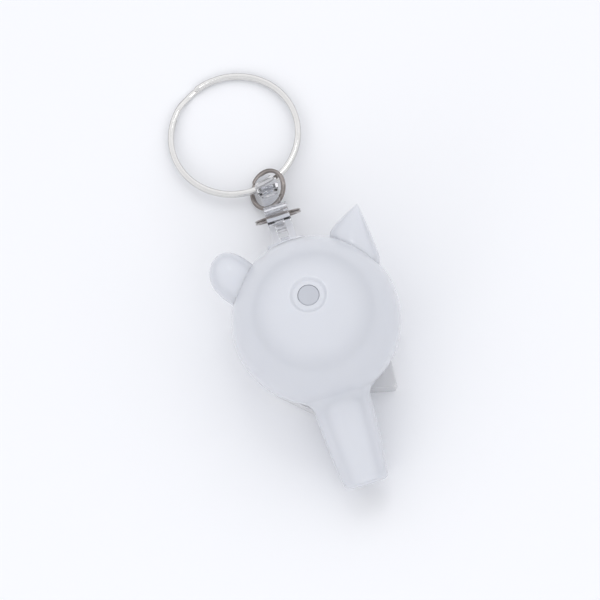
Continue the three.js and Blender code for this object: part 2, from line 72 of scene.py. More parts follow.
# Millimetres, for what is the same on every such light.
NOSE_ROUNDING = 1.0
SEAM = 0.07
SLIDE_GAP = 0.2
BUTTON_GAP = 0.04
DIMPLE_LIP = 0.2
EAR_ROOT_DEPTH = 3.0
FOOT_FLARE = 0.5
FOOT_SLANT_IN = {-1: 0.9, 1: 1.6}
FOOT_REAR_CUT = (1.7, 1.5)
FOOT_CORNER_CUT = {-1: 6.4, 1: 0.6}
BELLY_FLAT_DEPTH = 0.35
GUIDE_RADIUS = 4.2
GUIDE_DEPTH = 2.6
SCREW_OFFSET = 10.4
SCREW_HEAD_RADIUS = 1.8
SCREW_HEAD_HEIGHT = 1.3
SCREW_SHANK_RADIUS = 0.95
SCREW_LENGTH = 9.0
SCREW_SOCKET_DEPTH = 2.0
BOSS_WALL = 0.6
TAIL_BOSS_REACH = 17.0
TAIL_BOSS_MARGIN = 1.2
LUG_HEAD = {"edge": 9.0, "depth": 3.2, "margin": 0.9}
LUG_WINDOW = {"width": 1.7, "near": 18.2, "far": 20.8}
LUG_EYE_DROP = 0.3
LUG_EYE_WALL = 0.75
LAMP_RADIUS = 2.5
LAMP_FLANGE_RADIUS = 2.9
LAMP_LENGTH = 8.6
LAMP_FROM_NOSE = 0.3
LINK_EYE_RADIUS = 1.3
LINK_LENGTH = 8.3
LINK_HALF_WIDTH = {"near": 1.65, "neck": 1.6, "lobe": 2.15}
LINK_HALF_HEIGHT = {"near": 2.45, "lobe": 0.65}
LINK_SLOT = {"near": 1.55, "far": 4.2, "half": 2.05}
SMALL_RING_HEIGHT = 0.8
KEY_RING_HEIGHT = 1.2
CAMERA_BACK = Vector((0, -0.3256, 0.9455))
CAMERA_ROLL = 17.4
FINE = 192  # segments round the ball
MEDIUM = 96
SPAN = 60.0


# ------------------------------------------------------------------ sizes and colours


def length(name, description, default):
    return FloatProperty(name=name, description=description, default=default * MM, unit="LENGTH",
                         precision=5, min=0.0)


def angle(name, description, default):
    return FloatProperty(name=name, description=description, default=radians(default), subtype="ANGLE")


def colour(name, description, default):
    return FloatVectorProperty(name=name, description=description, default=default, subtype="COLOR",
                               size=4, min=0.0, max=1.0)


class MouseBodySizes(bpy.types.PropertyGroup):
    """Sizes of the ball, snout, ears and feet."""

    ball_radius: length("Ball radius", "Outside of the ball", 15.5)
    wall: length("Wall", "Thickness of both shells", 1.4)
    snout_droop: angle("Snout droop", "Snout below level", 19.5)
    snout_length: length("Snout length", "Ball centre to the end of the nose", 31.3)
    snout_root: length("Snout root radius", "Snout beside the ball", 5.3)
    snout_end: length("Snout end radius", "Snout at the nose", 4.2)
    snout_fillet: length("Snout fillet", "Hollow curve from ball to snout", 3.0)
    dimple_radius: length("Dimple radius", "Hollow round the button", 3.4)
    dimple_depth: length("Dimple depth", "Floor of the hollow below the ball", 0.6)
    button_radius: length("Button radius", "Push button on the back", 1.95)
    button_recess: length("Button recess", "Button top below the crown", 0.65)
    ear_tilt: angle("Ear tilt", "Ears above level", 14)
    foot_height: length("Foot height", "Thickness of the feet", 3.0)


class MouseEarSizes(bpy.types.PropertyGroup):
    """Sizes of one ear."""

    turn: angle("Turn", "From sideways towards the tail", 41.5)
    reach: length("Length", "Tip beyond the ball", 6.2)
    base: length("Base radius", "Ear at the ball", 4.2)
    fullness: FloatProperty(name="Fullness", description="Power of the taper along the ear", default=3.0)
    roundness: FloatProperty(name="Roundness", description="Power of the taper at the tip", default=0.5)
    lean: FloatProperty(name="Lean", description="Slant towards the tail for each length outwards", default=0.17)
    flatness: FloatProperty(name="Flatness", description="Thickness as a share of the width", default=0.85,
                            subtype="FACTOR", min=0.1, max=1.0)


class MouseChainSizes(bpy.types.PropertyGroup):
    """Sizes of the tail lug, the link and the rings."""

    lug_width: length("Lug width", "Tail lug from side to side", 4.4)
    eye_radius: length("Eye radius", "Hole in the lug for its ring", 1.5)
    small_ring: length("Small ring radius", "Outside of the ring in the link", 4.0)
    lug_ring: length("Lug ring radius", "Outside of the ring in the lug", 4.4)
    key_ring: length("Key ring radius", "Outside of the large ring", 12.5)
    small_band: length("Small ring band", "Wire of the small rings, across", 0.75)
    key_band: length("Key ring band", "Wire of the key ring, across", 1.1)
    link_pitch: angle("Link pitch", "Link, far end up", 9.6)
    lug_ring_lean: angle("Lug ring lean", "Lug ring from upright", 17)
    link_ring_pitch: angle("Link ring pitch", "Link ring, far end up", -7.5)
    link_ring_roll: angle("Link ring roll", "Link ring, right side up", 31)
    key_ring_pitch: angle("Key ring pitch", "Key ring, far end up", -3.6)


class MouseColours(bpy.types.PropertyGroup):
    """Colours of the finishes."""

    milky: colour("Milky plastic", "Shells and ears", (0.70, 0.72, 0.77, 1.0))
    clear: colour("Clear plastic", "Feet, tail lug and link", (0.95, 0.955, 0.975, 1.0))
    button: colour("Button", "Push button", (0.53, 0.55, 0.60, 1.0))
    steel: colour("Nickel plate", "Key ring", (0.80, 0.795, 0.79, 1.0))
    # The small rings' dark, brownish plate colour is painted reflection of dark surroundings, not a colour of the
    # metal.
    dark_reflection: colour("Dark plate with painted reflection", "Small rings", (0.40, 0.365, 0.355, 1.0))
    zinc: colour("Zinc plate", "Case screws", (0.62, 0.62, 0.61, 1.0))
    board: colour("Board", "Solder mask of the circuit board", (0.02, 0.13, 0.06, 1.0))
    floor: colour("Floor", "Pale floor under the mouse", (0.90, 0.91, 0.935, 1.0))


# ------------------------------------------------------------------ mesh helpers


def mesh_piece(name, points, faces):
    mesh = bpy.data.meshes.new(name)
    mesh.from_pydata(points, [], faces)
    mesh.validate()
    mesh.update()
    piece = bpy.data.objects.new(name, mesh)
    bpy.context.scene.collection.objects.link(piece)
    return piece


def revolve(name, profile, segments=MEDIUM):
    """Turns (radius, height) points about Z. The first and last points are on the axis."""
    points = [(0, 0, profile[0][1])]
    inner = profile[1:-1]
    for radius, height in inner:
        for k in range(segments):
            turn = 2 * pi * k / segments
            points.append((radius * cos(turn), radius * sin(turn), height))
    points.append((0, 0, profile[-1][1]))
    last = len(points) - 1
    start = lambda row: 1 + row * segments
    faces = []
    for k in range(segments):
        after = (k + 1) % segments
        faces.append((0, start(0) + after, start(0) + k))
        for row in range(len(inner) - 1):
            low, high = start(row), start(row + 1)
            faces.append((low + k, low + after, high + after, high + k))
        top = start(len(inner) - 1)
        faces.append((last, top + k, top + after))
    return outward(mesh_piece(name, points, faces))


def outward(piece):
    """Turns the faces of a closed mesh to point out."""
    mesh = piece.data
    mesh.calc_loop_triangles()
    volume = 0.0
    for triangle in mesh.loop_triangles:
        a, b, c = (mesh.vertices[k].co for k in triangle.vertices)
        volume += a.dot(b.cross(c))
    if volume < 0:
        mesh.flip_normals()
    return piece


def prism(name, outline, low, high):
    """An outline in X and Y, drawn up along Z."""
    count = len(outline)
    points = [(x, y, low) for x, y in outline] + [(x, y, high) for x, y in outline]
    faces = [tuple(range(count))[::-1], tuple(range(count, 2 * count))]
    for k in range(count):
        after = (k + 1) % count
        faces.append((k, after, count + after, count + k))
    return outward(mesh_piece(name, points, faces))


def side_prism(name, outline, low, high):
    """A (y, z) outline, drawn along X."""
    piece = prism(name, outline, low, high)
    piece.data.transform(Matrix(((0, 0, 1, 0), (1, 0, 0, 0), (0, 1, 0, 0), (0, 0, 0, 1))))
    return piece


def block(name, low, high):
    x, y, z = zip(low, high)
    return prism(name, [(x[0], y[0]), (x[1], y[0]), (x[1], y[1]), (x[0], y[1])], *z)


def rod(name, radius, low, high, segments=MEDIUM):
    return revolve(name, [(0, low), (radius, low), (radius, high), (0, high)], segments)


def sphere(name, radius, segments=FINE):
    return revolve(name, arc(0, 0, radius, -90, 90, segments // 2), segments)


def arc(cx, cy, radius, start, end, steps):
    turns = [radians(start + (end - start) * k / steps) for k in range(steps + 1)]
    return [(cx + radius * cos(turn), cy + radius * sin(turn)) for turn in turns]


def turned(piece, *matrices):
    for matrix in matrices:
        piece.data.transform(matrix)
    return piece


def spin(degrees_, axis):
    return Matrix.Rotation(radians(degrees_), 4, axis)


def shift(x, y, z):
    return Matrix.Translation((x, y, z))


def bake_modifiers(piece):
    bpy.context.view_layer.update()
    graph = bpy.context.evaluated_depsgraph_get()
    old = piece.data
    piece.data = bpy.data.meshes.new_from_object(piece.evaluated_get(graph))
    piece.modifiers.clear()
    bpy.data.meshes.remove(old)
    return piece


def combine(piece, tool, operation):
    """Joins (UNION), cuts (DIFFERENCE) or intersects (INTERSECT) and removes the tool."""
    modifier = piece.modifiers.new("combine", "BOOLEAN")
    modifier.operation = operation
    modifier.solver = "EXACT"
    modifier.object = tool
    bake_modifiers(piece)
    bpy.data.objects.remove(tool)
    if not piece.data.polygons:
        raise RuntimeError(f"nothing is left of {piece.name}")
    return piece


def moulded(piece, voxel, rounds):
    """Rounds every edge of a small moulding: an even skin, then a few rounds of smoothing."""
    remesh = piece.modifiers.new("skin", "REMESH")
    remesh.mode = "VOXEL"
    remesh.voxel_size = voxel
    remesh.use_smooth_shade = True
    smooth = piece.modifiers.new("round", "SMOOTH")
    smooth.iterations = rounds
    smooth.factor = 0.5
    return bake_modifiers(piece)


def fit(piece, body, slot, material, *nodes):
    """Turns a piece into metres and fits it to its body in place of its CAD nodes."""
    piece.data.transform(Matrix.Scale(MM, 4))
    piece.data.shade_smooth()
    piece.data.set_sharp_from_angle(angle=radians(35))
    dress(piece, material)
    if nodes:
        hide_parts(*nodes)
    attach(piece, body)
    return piece


def dress(piece, material):
    piece.data.materials.clear()
    piece.data.materials.append(material)


def centre(node):
    low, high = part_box(node)
    return (Vector(low) + Vector(high)) / 2


def joint_place(name):
    """A joint's place in millimetres."""
    return Vector(JOINTS[name]["pos_m"]) / MM


# ------------------------------------------------------------------ shader groups


def node_group(name, inputs, outputs):
    group = bpy.data.node_groups.get(name)
    if group:
        return group, None, None
    group = bpy.data.node_groups.new(name, "ShaderNodeTree")
    for label, kind, default in inputs:
        socket = group.interface.new_socket(label, in_out="INPUT", socket_type=kind)
        socket.default_value = default
    for label, kind in outputs:
        group.interface.new_socket(label, in_out="OUTPUT", socket_type=kind)
    return group, group.nodes.new("NodeGroupInput"), group.nodes.new("NodeGroupOutput")


def add_noise(tree, coordinate, scale_socket, detail):
    noise = tree.nodes.new("ShaderNodeTexNoise")
    noise.inputs["Detail"].default_value = detail
    tree.links.new(coordinate, noise.inputs["Vector"])
    if scale_socket is not None:
        tree.links.new(scale_socket, noise.inputs["Scale"])
    return noise.outputs["Fac"]


def math_node(tree, operation, first, second):
    """A Math node. Each input is a socket or a number."""
    node = tree.nodes.new("ShaderNodeMath")
    node.operation = operation
    for socket, value in zip(node.inputs, (first, second)):
        if isinstance(value, (int, float)):
            socket.default_value = value
        else:
            tree.links.new(value, socket)
    return node.outputs[0]


def skin_group():
    """Fine unevenness of a moulded or plated skin: a roughness and a height."""
    group, inputs, outputs = node_group(
        "fine_skin",
        [("Scale", "NodeSocketFloat", 2500.0), ("Roughness", "NodeSocketFloat", 0.2),
         ("Spread", "NodeSocketFloat", 0.05)],
        [("Roughness", "NodeSocketFloat"), ("Height", "NodeSocketFloat")])
    if inputs is None:
        return group
    place = group.nodes.new("ShaderNodeTexCoord").outputs["Object"]
    broad_scale = math_node(group, "MULTIPLY", inputs.outputs["Scale"], 0.12)
    fine = add_noise(group, place, inputs.outputs["Scale"], 3.0)
    broad = add_noise(group, place, broad_scale, 2.0)
    both = math_node(group, "MULTIPLY", math_node(group, "ADD", fine, broad), 0.5)
    swing = math_node(group, "MULTIPLY", math_node(group, "SUBTRACT", both, 0.5), inputs.outputs["Spread"])
    rough = math_node(group, "ADD", swing, inputs.outputs["Roughness"])
    group.links.new(math_node(group, "MAXIMUM", rough, 0.01), outputs.inputs["Roughness"])
    group.links.new(both, outputs.inputs["Height"])
    return group


def tint_group():
    """Slow colour drift and specks, as in an uneven melt or a thin film of dust."""
    group, inputs, outputs = node_group(
        "colour_drift",
        [("Color", "NodeSocketColor", (0.8, 0.8, 0.8, 1)), ("Second", "NodeSocketColor", (0.7, 0.7, 0.7, 1)),
         ("Scale", "NodeSocketFloat", 120.0), ("Amount", "NodeSocketFloat", 0.4)],
        [("Color", "NodeSocketColor")])
    if inputs is None:
        return group
    place = group.nodes.new("ShaderNodeTexCoord").outputs["Object"]
    drift = add_noise(group, place, inputs.outputs["Scale"], 4.0)
    amount = math_node(group, "MULTIPLY", drift, inputs.outputs["Amount"])
    mix = group.nodes.new("ShaderNodeMix")
    mix.data_type = "RGBA"
    group.links.new(amount, mix.inputs["Factor"])
    group.links.new(inputs.outputs["Color"], mix.inputs[6])
    group.links.new(inputs.outputs["Second"], mix.inputs[7])
    group.links.new(mix.outputs[2], outputs.inputs["Color"])
    return group


def place_group(tree, group, **values):
    node = tree.nodes.new("ShaderNodeGroup")
    node.node_tree = group
    for label, value in values.items():
        node.inputs[label].default_value = value
    return node


def material(name, base, second, roughness, spread=0.05, grain=2500.0, bump=0.02, drift=120.0, amount=0.5,
             **uniform):
    """A Principled material with drift in its colour and a fine uneven skin. Uniform values
    sit on the shader's own sockets."""
    name = f"mouse_{name}"
    made = bpy.data.materials.get(name)
    if made:
        return made
    made = bpy.data.materials.new(name)
    made.use_nodes = True
    tree = made.node_tree
    shader = tree.nodes["Principled BSDF"]
    tint = place_group(tree, tint_group(), Color=base, Second=second, Scale=drift, Amount=amount)
    skin = place_group(tree, skin_group(), Scale=grain, Roughness=roughness, Spread=spread)
    relief = tree.nodes.new("ShaderNodeBump")
    relief.inputs["Strength"].default_value = bump
    relief.inputs["Distance"].default_value = 0.05 * MM
    tree.links.new(tint.outputs["Color"], shader.inputs["Base Color"])
    tree.links.new(skin.outputs["Roughness"], shader.inputs["Roughness"])
    tree.links.new(skin.outputs["Height"], relief.inputs["Height"])
    tree.links.new(relief.outputs["Normal"], shader.inputs["Normal"])
    for label, value in uniform.items():
        shader.inputs[label.replace("_", " ")].default_value = value
    return made


def shade(base, factor, blue=1.0):
    return (base[0] * factor, base[1] * factor, min(base[2] * factor * blue, 1.0), 1.0)


def milky_plastic(colours):
    base = tuple(colours.milky)
    made = material("milky_plastic", base, shade(base, 0.95, 0.99), 0.2, spread=0.08, grain=1800.0,
                    bump=0.03, drift=90.0, Subsurface_Weight=0.35, Coat_Weight=0.35, Coat_Roughness=0.06,
                    IOR=1.49)
    shader = made.node_tree.nodes["Principled BSDF"]
    shader.inputs["Subsurface Radius"].default_value = (1.0, 0.95, 0.9)
    shader.inputs["Subsurface Scale"].default_value = 1.2 * MM
    return made


def clear_plastic(colours):
    base = tuple(colours.clear)
    return material("clear_plastic", base, shade(base, 0.97), 0.03, spread=0.03, grain=700.0, bump=0.05,
                    drift=200.0, Transmission_Weight=1.0, IOR=1.49)


def cloudy_plastic(colours):
    """The clear plastic of the feet, which are thick and lit only from above."""
    base = tuple(colours.clear)
    return material("cloudy_plastic", base, shade(base, 0.97), 0.06, spread=0.03, grain=700.0, bump=0.05,
                    drift=200.0, Transmission_Weight=0.25, IOR=1.49)


def nickel_plate(colours):
    base = tuple(colours.steel)
    return material("nickel_plate", base, shade(base, 0.82, 0.95), 0.16, spread=0.12, grain=5200.0, bump=0.08,
                    drift=600.0, Metallic=1.0)


# Dark plate for the small rings: its darkness, and the darker second tone, are painted reflection of dark
# surroundings.
def dark_reflection_plate(colours):
    base = tuple(colours.dark_reflection)
    return material("dark_reflection_plate", base, shade(base, 0.7, 0.9), 0.2, spread=0.15, grain=4200.0, bump=0.12,
                    drift=700.0, Metallic=1.0)


def zinc_plate(colours):
    base = tuple(colours.zinc)
    return material("zinc_plate", base, shade(base, 0.7, 0.9), 0.32, spread=0.2, grain=4200.0, bump=0.15,
                    drift=500.0, Metallic=1.0)


def cell_steel(colours):
    base = (0.70, 0.70, 0.69, 1)
    return material("cell_steel", base, shade(base, 0.85), 0.28, spread=0.2, grain=3600.0, bump=0.1,
                    drift=300.0, Metallic=1.0)


def tinned_metal(colours):
    base = (0.66, 0.67, 0.68, 1)
    return material("tinned_metal", base, shade(base, 0.8), 0.35, spread=0.25, grain=3000.0, bump=0.15,
                    drift=700.0, Metallic=1.0)


def button_grey(colours):
    base = tuple(colours.button)
    return material("button_grey", base, shade(base, 0.9), 0.38, spread=0.1, grain=5000.0, bump=0.15, drift=400.0)


def board_green(colours):
    base = tuple(colours.board)
    return material("board_green", base, shade(base, 1.5), 0.3, spread=0.15, grain=3000.0, bump=0.2, drift=900.0)


def black_plastic(colours):
    base = (0.022, 0.022, 0.025, 1)
    return material("black_plastic", base, shade(base, 1.7), 0.42, spread=0.15, grain=5000.0, bump=0.25, drift=500.0)


def white_plastic(colours):
    base = (0.72, 0.72, 0.69, 1)
    return material("white_plastic", base, shade(base, 0.93), 0.4, spread=0.1, grain=4500.0, bump=0.15, drift=300.0)


def lamp_resin(colours):
    base = (0.94, 0.95, 0.97, 1)
    return material("lamp_resin", base, shade(base, 0.96), 0.04, spread=0.03, grain=700.0, bump=0.05, drift=150.0,
                    Transmission_Weight=0.9, IOR=1.52)


# ------------------------------------------------------------------ body


def body_centre(sizes):
    return sizes.ball_radius / MM - BELLY_FLAT_DEPTH


def body_outline(sizes, offset):
    """Ball and snout from the tail pole to the nose, grown by an offset."""
    ball = sizes.ball_radius / MM
    root, end = sizes.snout_root / MM, sizes.snout_end / MM
    fillet, nose = sizes.snout_fillet / MM, sizes.snout_length / MM + offset
    out = root + fillet
    along = sqrt((ball + fillet) ** 2 - out ** 2)
    meet = degrees(atan2(along, out))
    rounding = NOSE_ROUNDING + offset if offset > -NOSE_ROUNDING + 0.2 else 0.2
    steps = FINE // 2 if offset == 0 else MEDIUM // 2
    points = arc(0, 0, ball + offset, -90, meet, steps)
    points += arc(out, along, fillet - offset, 180 + meet, 180, 12)[1:]
    waist = (root + end) / 2 + 0.15 + offset
    tip = end + offset
    start_radius, start_along = points[-1]
    stop_along = nose - rounding
    for k in range(1, 24):
        share = k / 24
        straight = start_radius + (tip - start_radius) * share
        swell = 4 * share * (1 - share) * (waist - (start_radius + tip) / 2)
        points.append((straight + swell, start_along + (stop_along - start_along) * share))
    points += arc(tip - rounding, stop_along, rounding, 0, 90, 8)
    points[0] = (0, points[0][1])
    return points + [(0, nose)]


def along_snout(sizes, piece):
    return turned(piece, spin(90 + degrees(sizes.snout_droop), "X"))


def half_space(sizes, side):
    low, high = (SEAM / 2, SPAN) if side > 0 else (-SPAN, -SEAM / 2)
    half = block("half", (-SPAN, -SPAN, low), (SPAN, SPAN, high))
    return turned(half, spin(degrees(sizes.snout_droop), "X"))


def hollow_body(sizes, name, side):
    outer = along_snout(sizes, revolve(name, body_outline(sizes, 0), FINE))
    inner = along_snout(sizes, revolve("inner", body_outline(sizes, -sizes.wall / MM), MEDIUM))
    combine(outer, inner, "DIFFERENCE")
    low = sizes.snout_length / MM - sizes.wall / MM - 1
    hole = along_snout(sizes, rod("lamp_hole", 2.5 + SLIDE_GAP, low, low + SPAN))
    combine(outer, hole, "DIFFERENCE")
    return combine(outer, half_space(sizes, side), "INTERSECT")


def screw_line(sizes, piece, side):
    return turned(piece, shift(side * SCREW_OFFSET, 0, 0), spin(degrees(sizes.snout_droop), "X"))


def head_seat(sizes):
    rim = SCREW_OFFSET + SCREW_HEAD_RADIUS
    return SCREW_SOCKET_DEPTH - sqrt((sizes.ball_radius / MM) ** 2 - rim ** 2)


def add_bosses(sizes, shell, low, high):
    ball = sizes.ball_radius / MM
    for side in (-1, 1):
        boss = screw_line(sizes, rod("boss", SCREW_HEAD_RADIUS + SLIDE_GAP + BOSS_WALL, low, high), side)
        combine(boss, sphere("inside", ball - 0.3, MEDIUM), "INTERSECT")
        combine(shell, boss, "UNION")
    return shell


def cut_screw_holes(sizes, shell, radius, low, high):
    for side in (-1, 1):
        combine(shell, screw_line(sizes, rod("hole", radius, low, high), side), "DIFFERENCE")
    return shell


def upper_shell(sizes):
    ball = sizes.ball_radius / MM
    hole_radius = sizes.button_radius / MM + BUTTON_GAP
    shell = hollow_body(sizes, "upper_shell_skin", 1)
    add_bosses(sizes, shell, SEAM, ball)
    guide = rod("guide", GUIDE_RADIUS, ball - GUIDE_DEPTH, ball - 0.9)
    combine(shell, guide, "UNION")
    combine(shell, rod("button_hole", hole_radius, 0, SPAN), "DIFFERENCE")
    combine(shell, dimple(sizes, hole_radius), "DIFFERENCE")
    return cut_screw_holes(sizes, shell, SCREW_SHANK_RADIUS, -1, head_seat(sizes) + SCREW_LENGTH + 1)


def dimple(sizes, hole_radius):
    """The cutter for the hollow round the button: an even curve from its floor up to the ball."""
    ball, depth = sizes.ball_radius / MM, sizes.dimple_depth / MM
    start, stop = hole_radius + 0.05, sizes.dimple_radius / MM + DIMPLE_LIP
    outline = [(0, sqrt(ball ** 2 - start ** 2) - depth)]
    for k in range(41):
        share = k / 40
        radius = start + (stop - start) * share
        rise = max(0, (share - 0.45) / 0.55)
        sink = (depth + 0.02) * (1 - rise * rise * (3 - 2 * rise)) - 0.02
        outline.append((radius, sqrt(ball ** 2 - radius ** 2) - sink))
    outline += [(stop, ball + 2), (0, ball + 2)]
    return revolve("dimple", outline, FINE)


def lower_shell(sizes, chain):
    ball = sizes.ball_radius / MM
    shell = hollow_body(sizes, "lower_shell_skin", -1)
    add_bosses(sizes, shell, -ball, -SEAM)
    eye = joint_place("lug_ring_swing")
    half_neck = chain.lug_width / MM / 2 + SLIDE_GAP
    half_boss = half_neck + TAIL_BOSS_MARGIN
    height = eye.z - body_centre(sizes)
    boss = turned(rounded_bar("tail_boss", half_boss, half_boss, 0.9, 8, TAIL_BOSS_REACH), shift(eye.x, 0, height))
    combine(boss, sphere("inside", ball - sizes.wall / MM, MEDIUM), "DIFFERENCE")
    combine(shell, boss, "UNION")
    passage = block("passage", (eye.x - half_neck, 8, height - half_neck),
                    (eye.x + half_neck, TAIL_BOSS_REACH + 1, height + half_neck))
    combine(shell, passage, "DIFFERENCE")
    combine(shell, block("belly", (-SPAN, -SPAN, -SPAN), (SPAN, SPAN, -body_centre(sizes))), "DIFFERENCE")
    cut_screw_holes(sizes, shell, SCREW_SHANK_RADIUS + SLIDE_GAP, -ball, 1)
    return cut_screw_holes(sizes, shell, SCREW_HEAD_RADIUS + SLIDE_GAP, -SPAN, head_seat(sizes))


def rounded_bar(name, half_width, half_height, rounding, low, high):
    """A bar along Y with rounded corners."""
    outline = []
    for cx, cz, start in ((1, 1, 0), (-1, 1, 90), (-1, -1, 180), (1, -1, 270)):
        outline += arc(cx * (half_width - rounding), cz * (half_height - rounding), rounding, start, start + 90, 6)
    piece = prism(name, outline, low, high)
    return outward(turned(piece, Matrix(((1, 0, 0, 0), (0, 0, 1, 0), (0, 1, 0, 0), (0, 0, 0, 1)))))


def ear_piece(sizes, shape, name, side):
    ball = sizes.ball_radius / MM
    reach, base, start = shape.reach / MM, shape.base / MM, ball - EAR_ROOT_DEPTH
    profile = [(0, start), (base, start)]
    for k in range(48):
        along = sin(k / 48 * pi / 2)
        profile.append((base * (1 - along ** shape.fullness) ** shape.roundness, ball + reach * along))
    profile.append((0, ball + reach))
    ear = revolve(name, profile, FINE)
    lean = side * shape.lean
    slant = Matrix(((shape.flatness, 0, 0, 0), (0, 1, lean, -lean * ball), (0, 0, 1, 0), (0, 0, 0, 1)))
    turn = degrees(shape.turn)
    turned(ear, slant, spin(90 - degrees(sizes.ear_tilt), "Y"), spin(turn if side > 0 else 180 - turn, "Z"))
    return combine(ear, sphere("ball", ball - 0.02), "DIFFERENCE")


def foot_piece(sizes, name, node, side):
    """A foot with soft edges that fits under the ball."""
    low, high = (Vector(corner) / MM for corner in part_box(node))
    inner, outer = (low.x, high.x) if side > 0 else (high.x, low.x)
    flared = outer - side * FOOT_FLARE
    cut = FOOT_CORNER_CUT[side]
    outline = [(inner, low.y + FOOT_SLANT_IN[side]), (flared - side * cut, low.y), (flared, low.y + cut),
               (outer, high.y - FOOT_REAR_CUT[1]), (outer - side * FOOT_REAR_CUT[0], high.y), (inner, high.y)]
    top = sizes.foot_height / MM
    foot = prism(name, outline, 0, top)
    place = body_centre(sizes)
    combine(foot, turned(sphere("ball", sizes.ball_radius / MM - 0.02), shift(0, 0, place)), "DIFFERENCE")
    moulded(foot, 0.09, 4)
    return turned(foot, shift(0, 0, -place))


def button_piece(sizes):
    radius = sizes.button_radius / MM
    top = sizes.ball_radius / MM - sizes.button_recess / MM
    flange_top = sizes.ball_radius / MM - GUIDE_DEPTH - 0.3
    flange_low = flange_top - 0.8
    profile = [(0, flange_low - 0.2), (radius - 0.45, flange_low - 0.2), (radius - 0.4, flange_low - 0.15)]
    profile += [(radius - 0.4, flange_low), (3.05, flange_low), (3.1, flange_low + 0.05)]
    profile += [(3.1, flange_top - 0.05), (3.05, flange_top), (radius, flange_top)]
    profile += arc(radius - 0.3, top - 0.3, 0.3, 0, 90, 8)
    profile += [(radius * 0.6, top - 0.05), (radius * 0.3, top - 0.1), (0, top - 0.12)]
    return revolve("push_button", profile, MEDIUM)


# ------------------------------------------------------------------ chain


def tail_lug(sizes, chain):
    """The lug about its eye: a flat bar with a window and a cross hole."""
    half = chain.lug_width / MM / 2
    eye_outer = chain.eye_radius / MM + LUG_EYE_WALL
    drop, edge, margin = -LUG_EYE_DROP, LUG_HEAD["edge"], LUG_HEAD["margin"]
    head_end = edge + LUG_HEAD["depth"]
    reach = joint_place("lug_ring_swing").y
    side = [(edge + 1 - reach, 0.3 - half), (0, drop - eye_outer)]
    side += arc(0, drop, eye_outer, -80, 80, 18)
    side += [(0, drop + eye_outer), (edge + 1 - reach, half - 0.2)]
    lug = side_prism("tail_lug_moulding", side, -half, half)
    wide = half + margin
    head = block("head", (-wide, edge - reach, -wide), (wide, head_end - reach, wide))
    combine(lug, head, "UNION")
    place = joint_place("lug_ring_swing") - Vector((0, 0, body_centre(sizes)))
    inside = turned(sphere("inside", sizes.ball_radius / MM - sizes.wall / MM - 0.3, MEDIUM), shift(*-place))
    head_part = combine(block("far", (-SPAN, head_end - reach, -SPAN), (SPAN, SPAN, SPAN)), inside, "UNION")
    combine(lug, head_part, "INTERSECT")
    half_window = LUG_WINDOW["width"] / 2
    window = block("window", (-half_window, LUG_WINDOW["near"] - reach, -5),
                   (half_window, LUG_WINDOW["far"] - reach, 5))
    combine(lug, window, "DIFFERENCE")
    eye = turned(rod("eye", chain.eye_radius / MM, -5, 5), spin(90, "Y"), shift(0, 0, drop))
    combine(lug, eye, "DIFFERENCE")
    return moulded(lug, 0.07, 3)


def link_moulding():
    """The link about its eye: a thick end with a slot, then a flat lobe."""
    near, neck, lobe = LINK_HALF_WIDTH["near"], LINK_HALF_WIDTH["neck"], LINK_HALF_WIDTH["lobe"]
    length_ = LINK_LENGTH
    plan = arc(0, 0, near, 180, 360, 20) + [(neck, near), (neck, 4.35), (lobe, 5.4)]
    plan += arc(0, length_ - lobe, lobe, 0, 180, 28)
    plan += [(-lobe, 5.4), (-neck, 4.35), (-neck, near)]
    half, lobe_half, wall_end = LINK_HALF_HEIGHT["near"], LINK_HALF_HEIGHT["lobe"], 4.6
    side = arc(0, 0, half, 90, 270, 24) + [(wall_end, -half), (wall_end + 1.5, -lobe_half)]
    side += [(length_ + 1, -lobe_half), (length_ + 1, lobe_half), (wall_end + 1.2, half - 0.5)]
    side += [(wall_end - 0.5, half)]
    link = prism("link_moulding", plan, -8, 8)
    combine(link, side_prism("side", side, -8, 8), "INTERSECT")
    combine(link, turned(rod("eye", LINK_EYE_RADIUS, -8, 8), spin(90, "Y"), shift(0, 0, 0.2)), "DIFFERENCE")
    slot = block("slot", (-8, LINK_SLOT["near"], -LINK_SLOT["half"]), (8, LINK_SLOT["far"], LINK_SLOT["half"]))
    combine(link, slot, "DIFFERENCE")
    return moulded(link, 0.07, 3)


def split_ring(name, radius, band, height, step_at):
    """Flat wire wound twice round and pressed together, with the step between its turns."""
    middle = radius - band / 2
    half_turn = height / 4
    wire = height / 2 - 0.03
    section = [superellipse(k, 20, band / 2, wire / 2, 2.4) for k in range(20)]
    gap, ramp = 7.0, 17.0
    start, stop = ramp / 2 + gap, 720 - ramp / 2 - gap
    steps = 300 if radius > 8 else 170
    points, faces = [], []
    for k in range(steps + 1):
        at = start + (stop - start) * k / steps
        climb = min(max((at - 360 + ramp / 2) / ramp, 0), 1)
        lift = half_turn * (2 * climb * climb * (3 - 2 * climb) - 1)
        near_end = min(at - start, stop - at) * pi / 180 * middle
        trim = 1 - 0.45 * max(0, 1 - near_end / 0.3) ** 2
        turn = radians(at + step_at)
        for across, up in section:
            out = middle + across * trim
            points.append((out * cos(turn), out * sin(turn), lift + up * trim))
    count = len(section)
    for k in range(steps):
        for n in range(count):
            a, b = k * count + n, k * count + (n + 1) % count
            faces.append((a, b, b + count, a + count))
    faces.append(tuple(range(count))[::-1])
    faces.append(tuple(range(steps * count, (steps + 1) * count)))
    return outward(mesh_piece(name, points, faces))


def superellipse(k, count, half_width, half_height, power):
    turn = 2 * pi * k / count
    x, y = cos(turn), sin(turn)
    return (copysign(half_width * abs(x) ** (2 / power), x), copysign(half_height * abs(y) ** (2 / power), y))


# ------------------------------------------------------------------ works inside


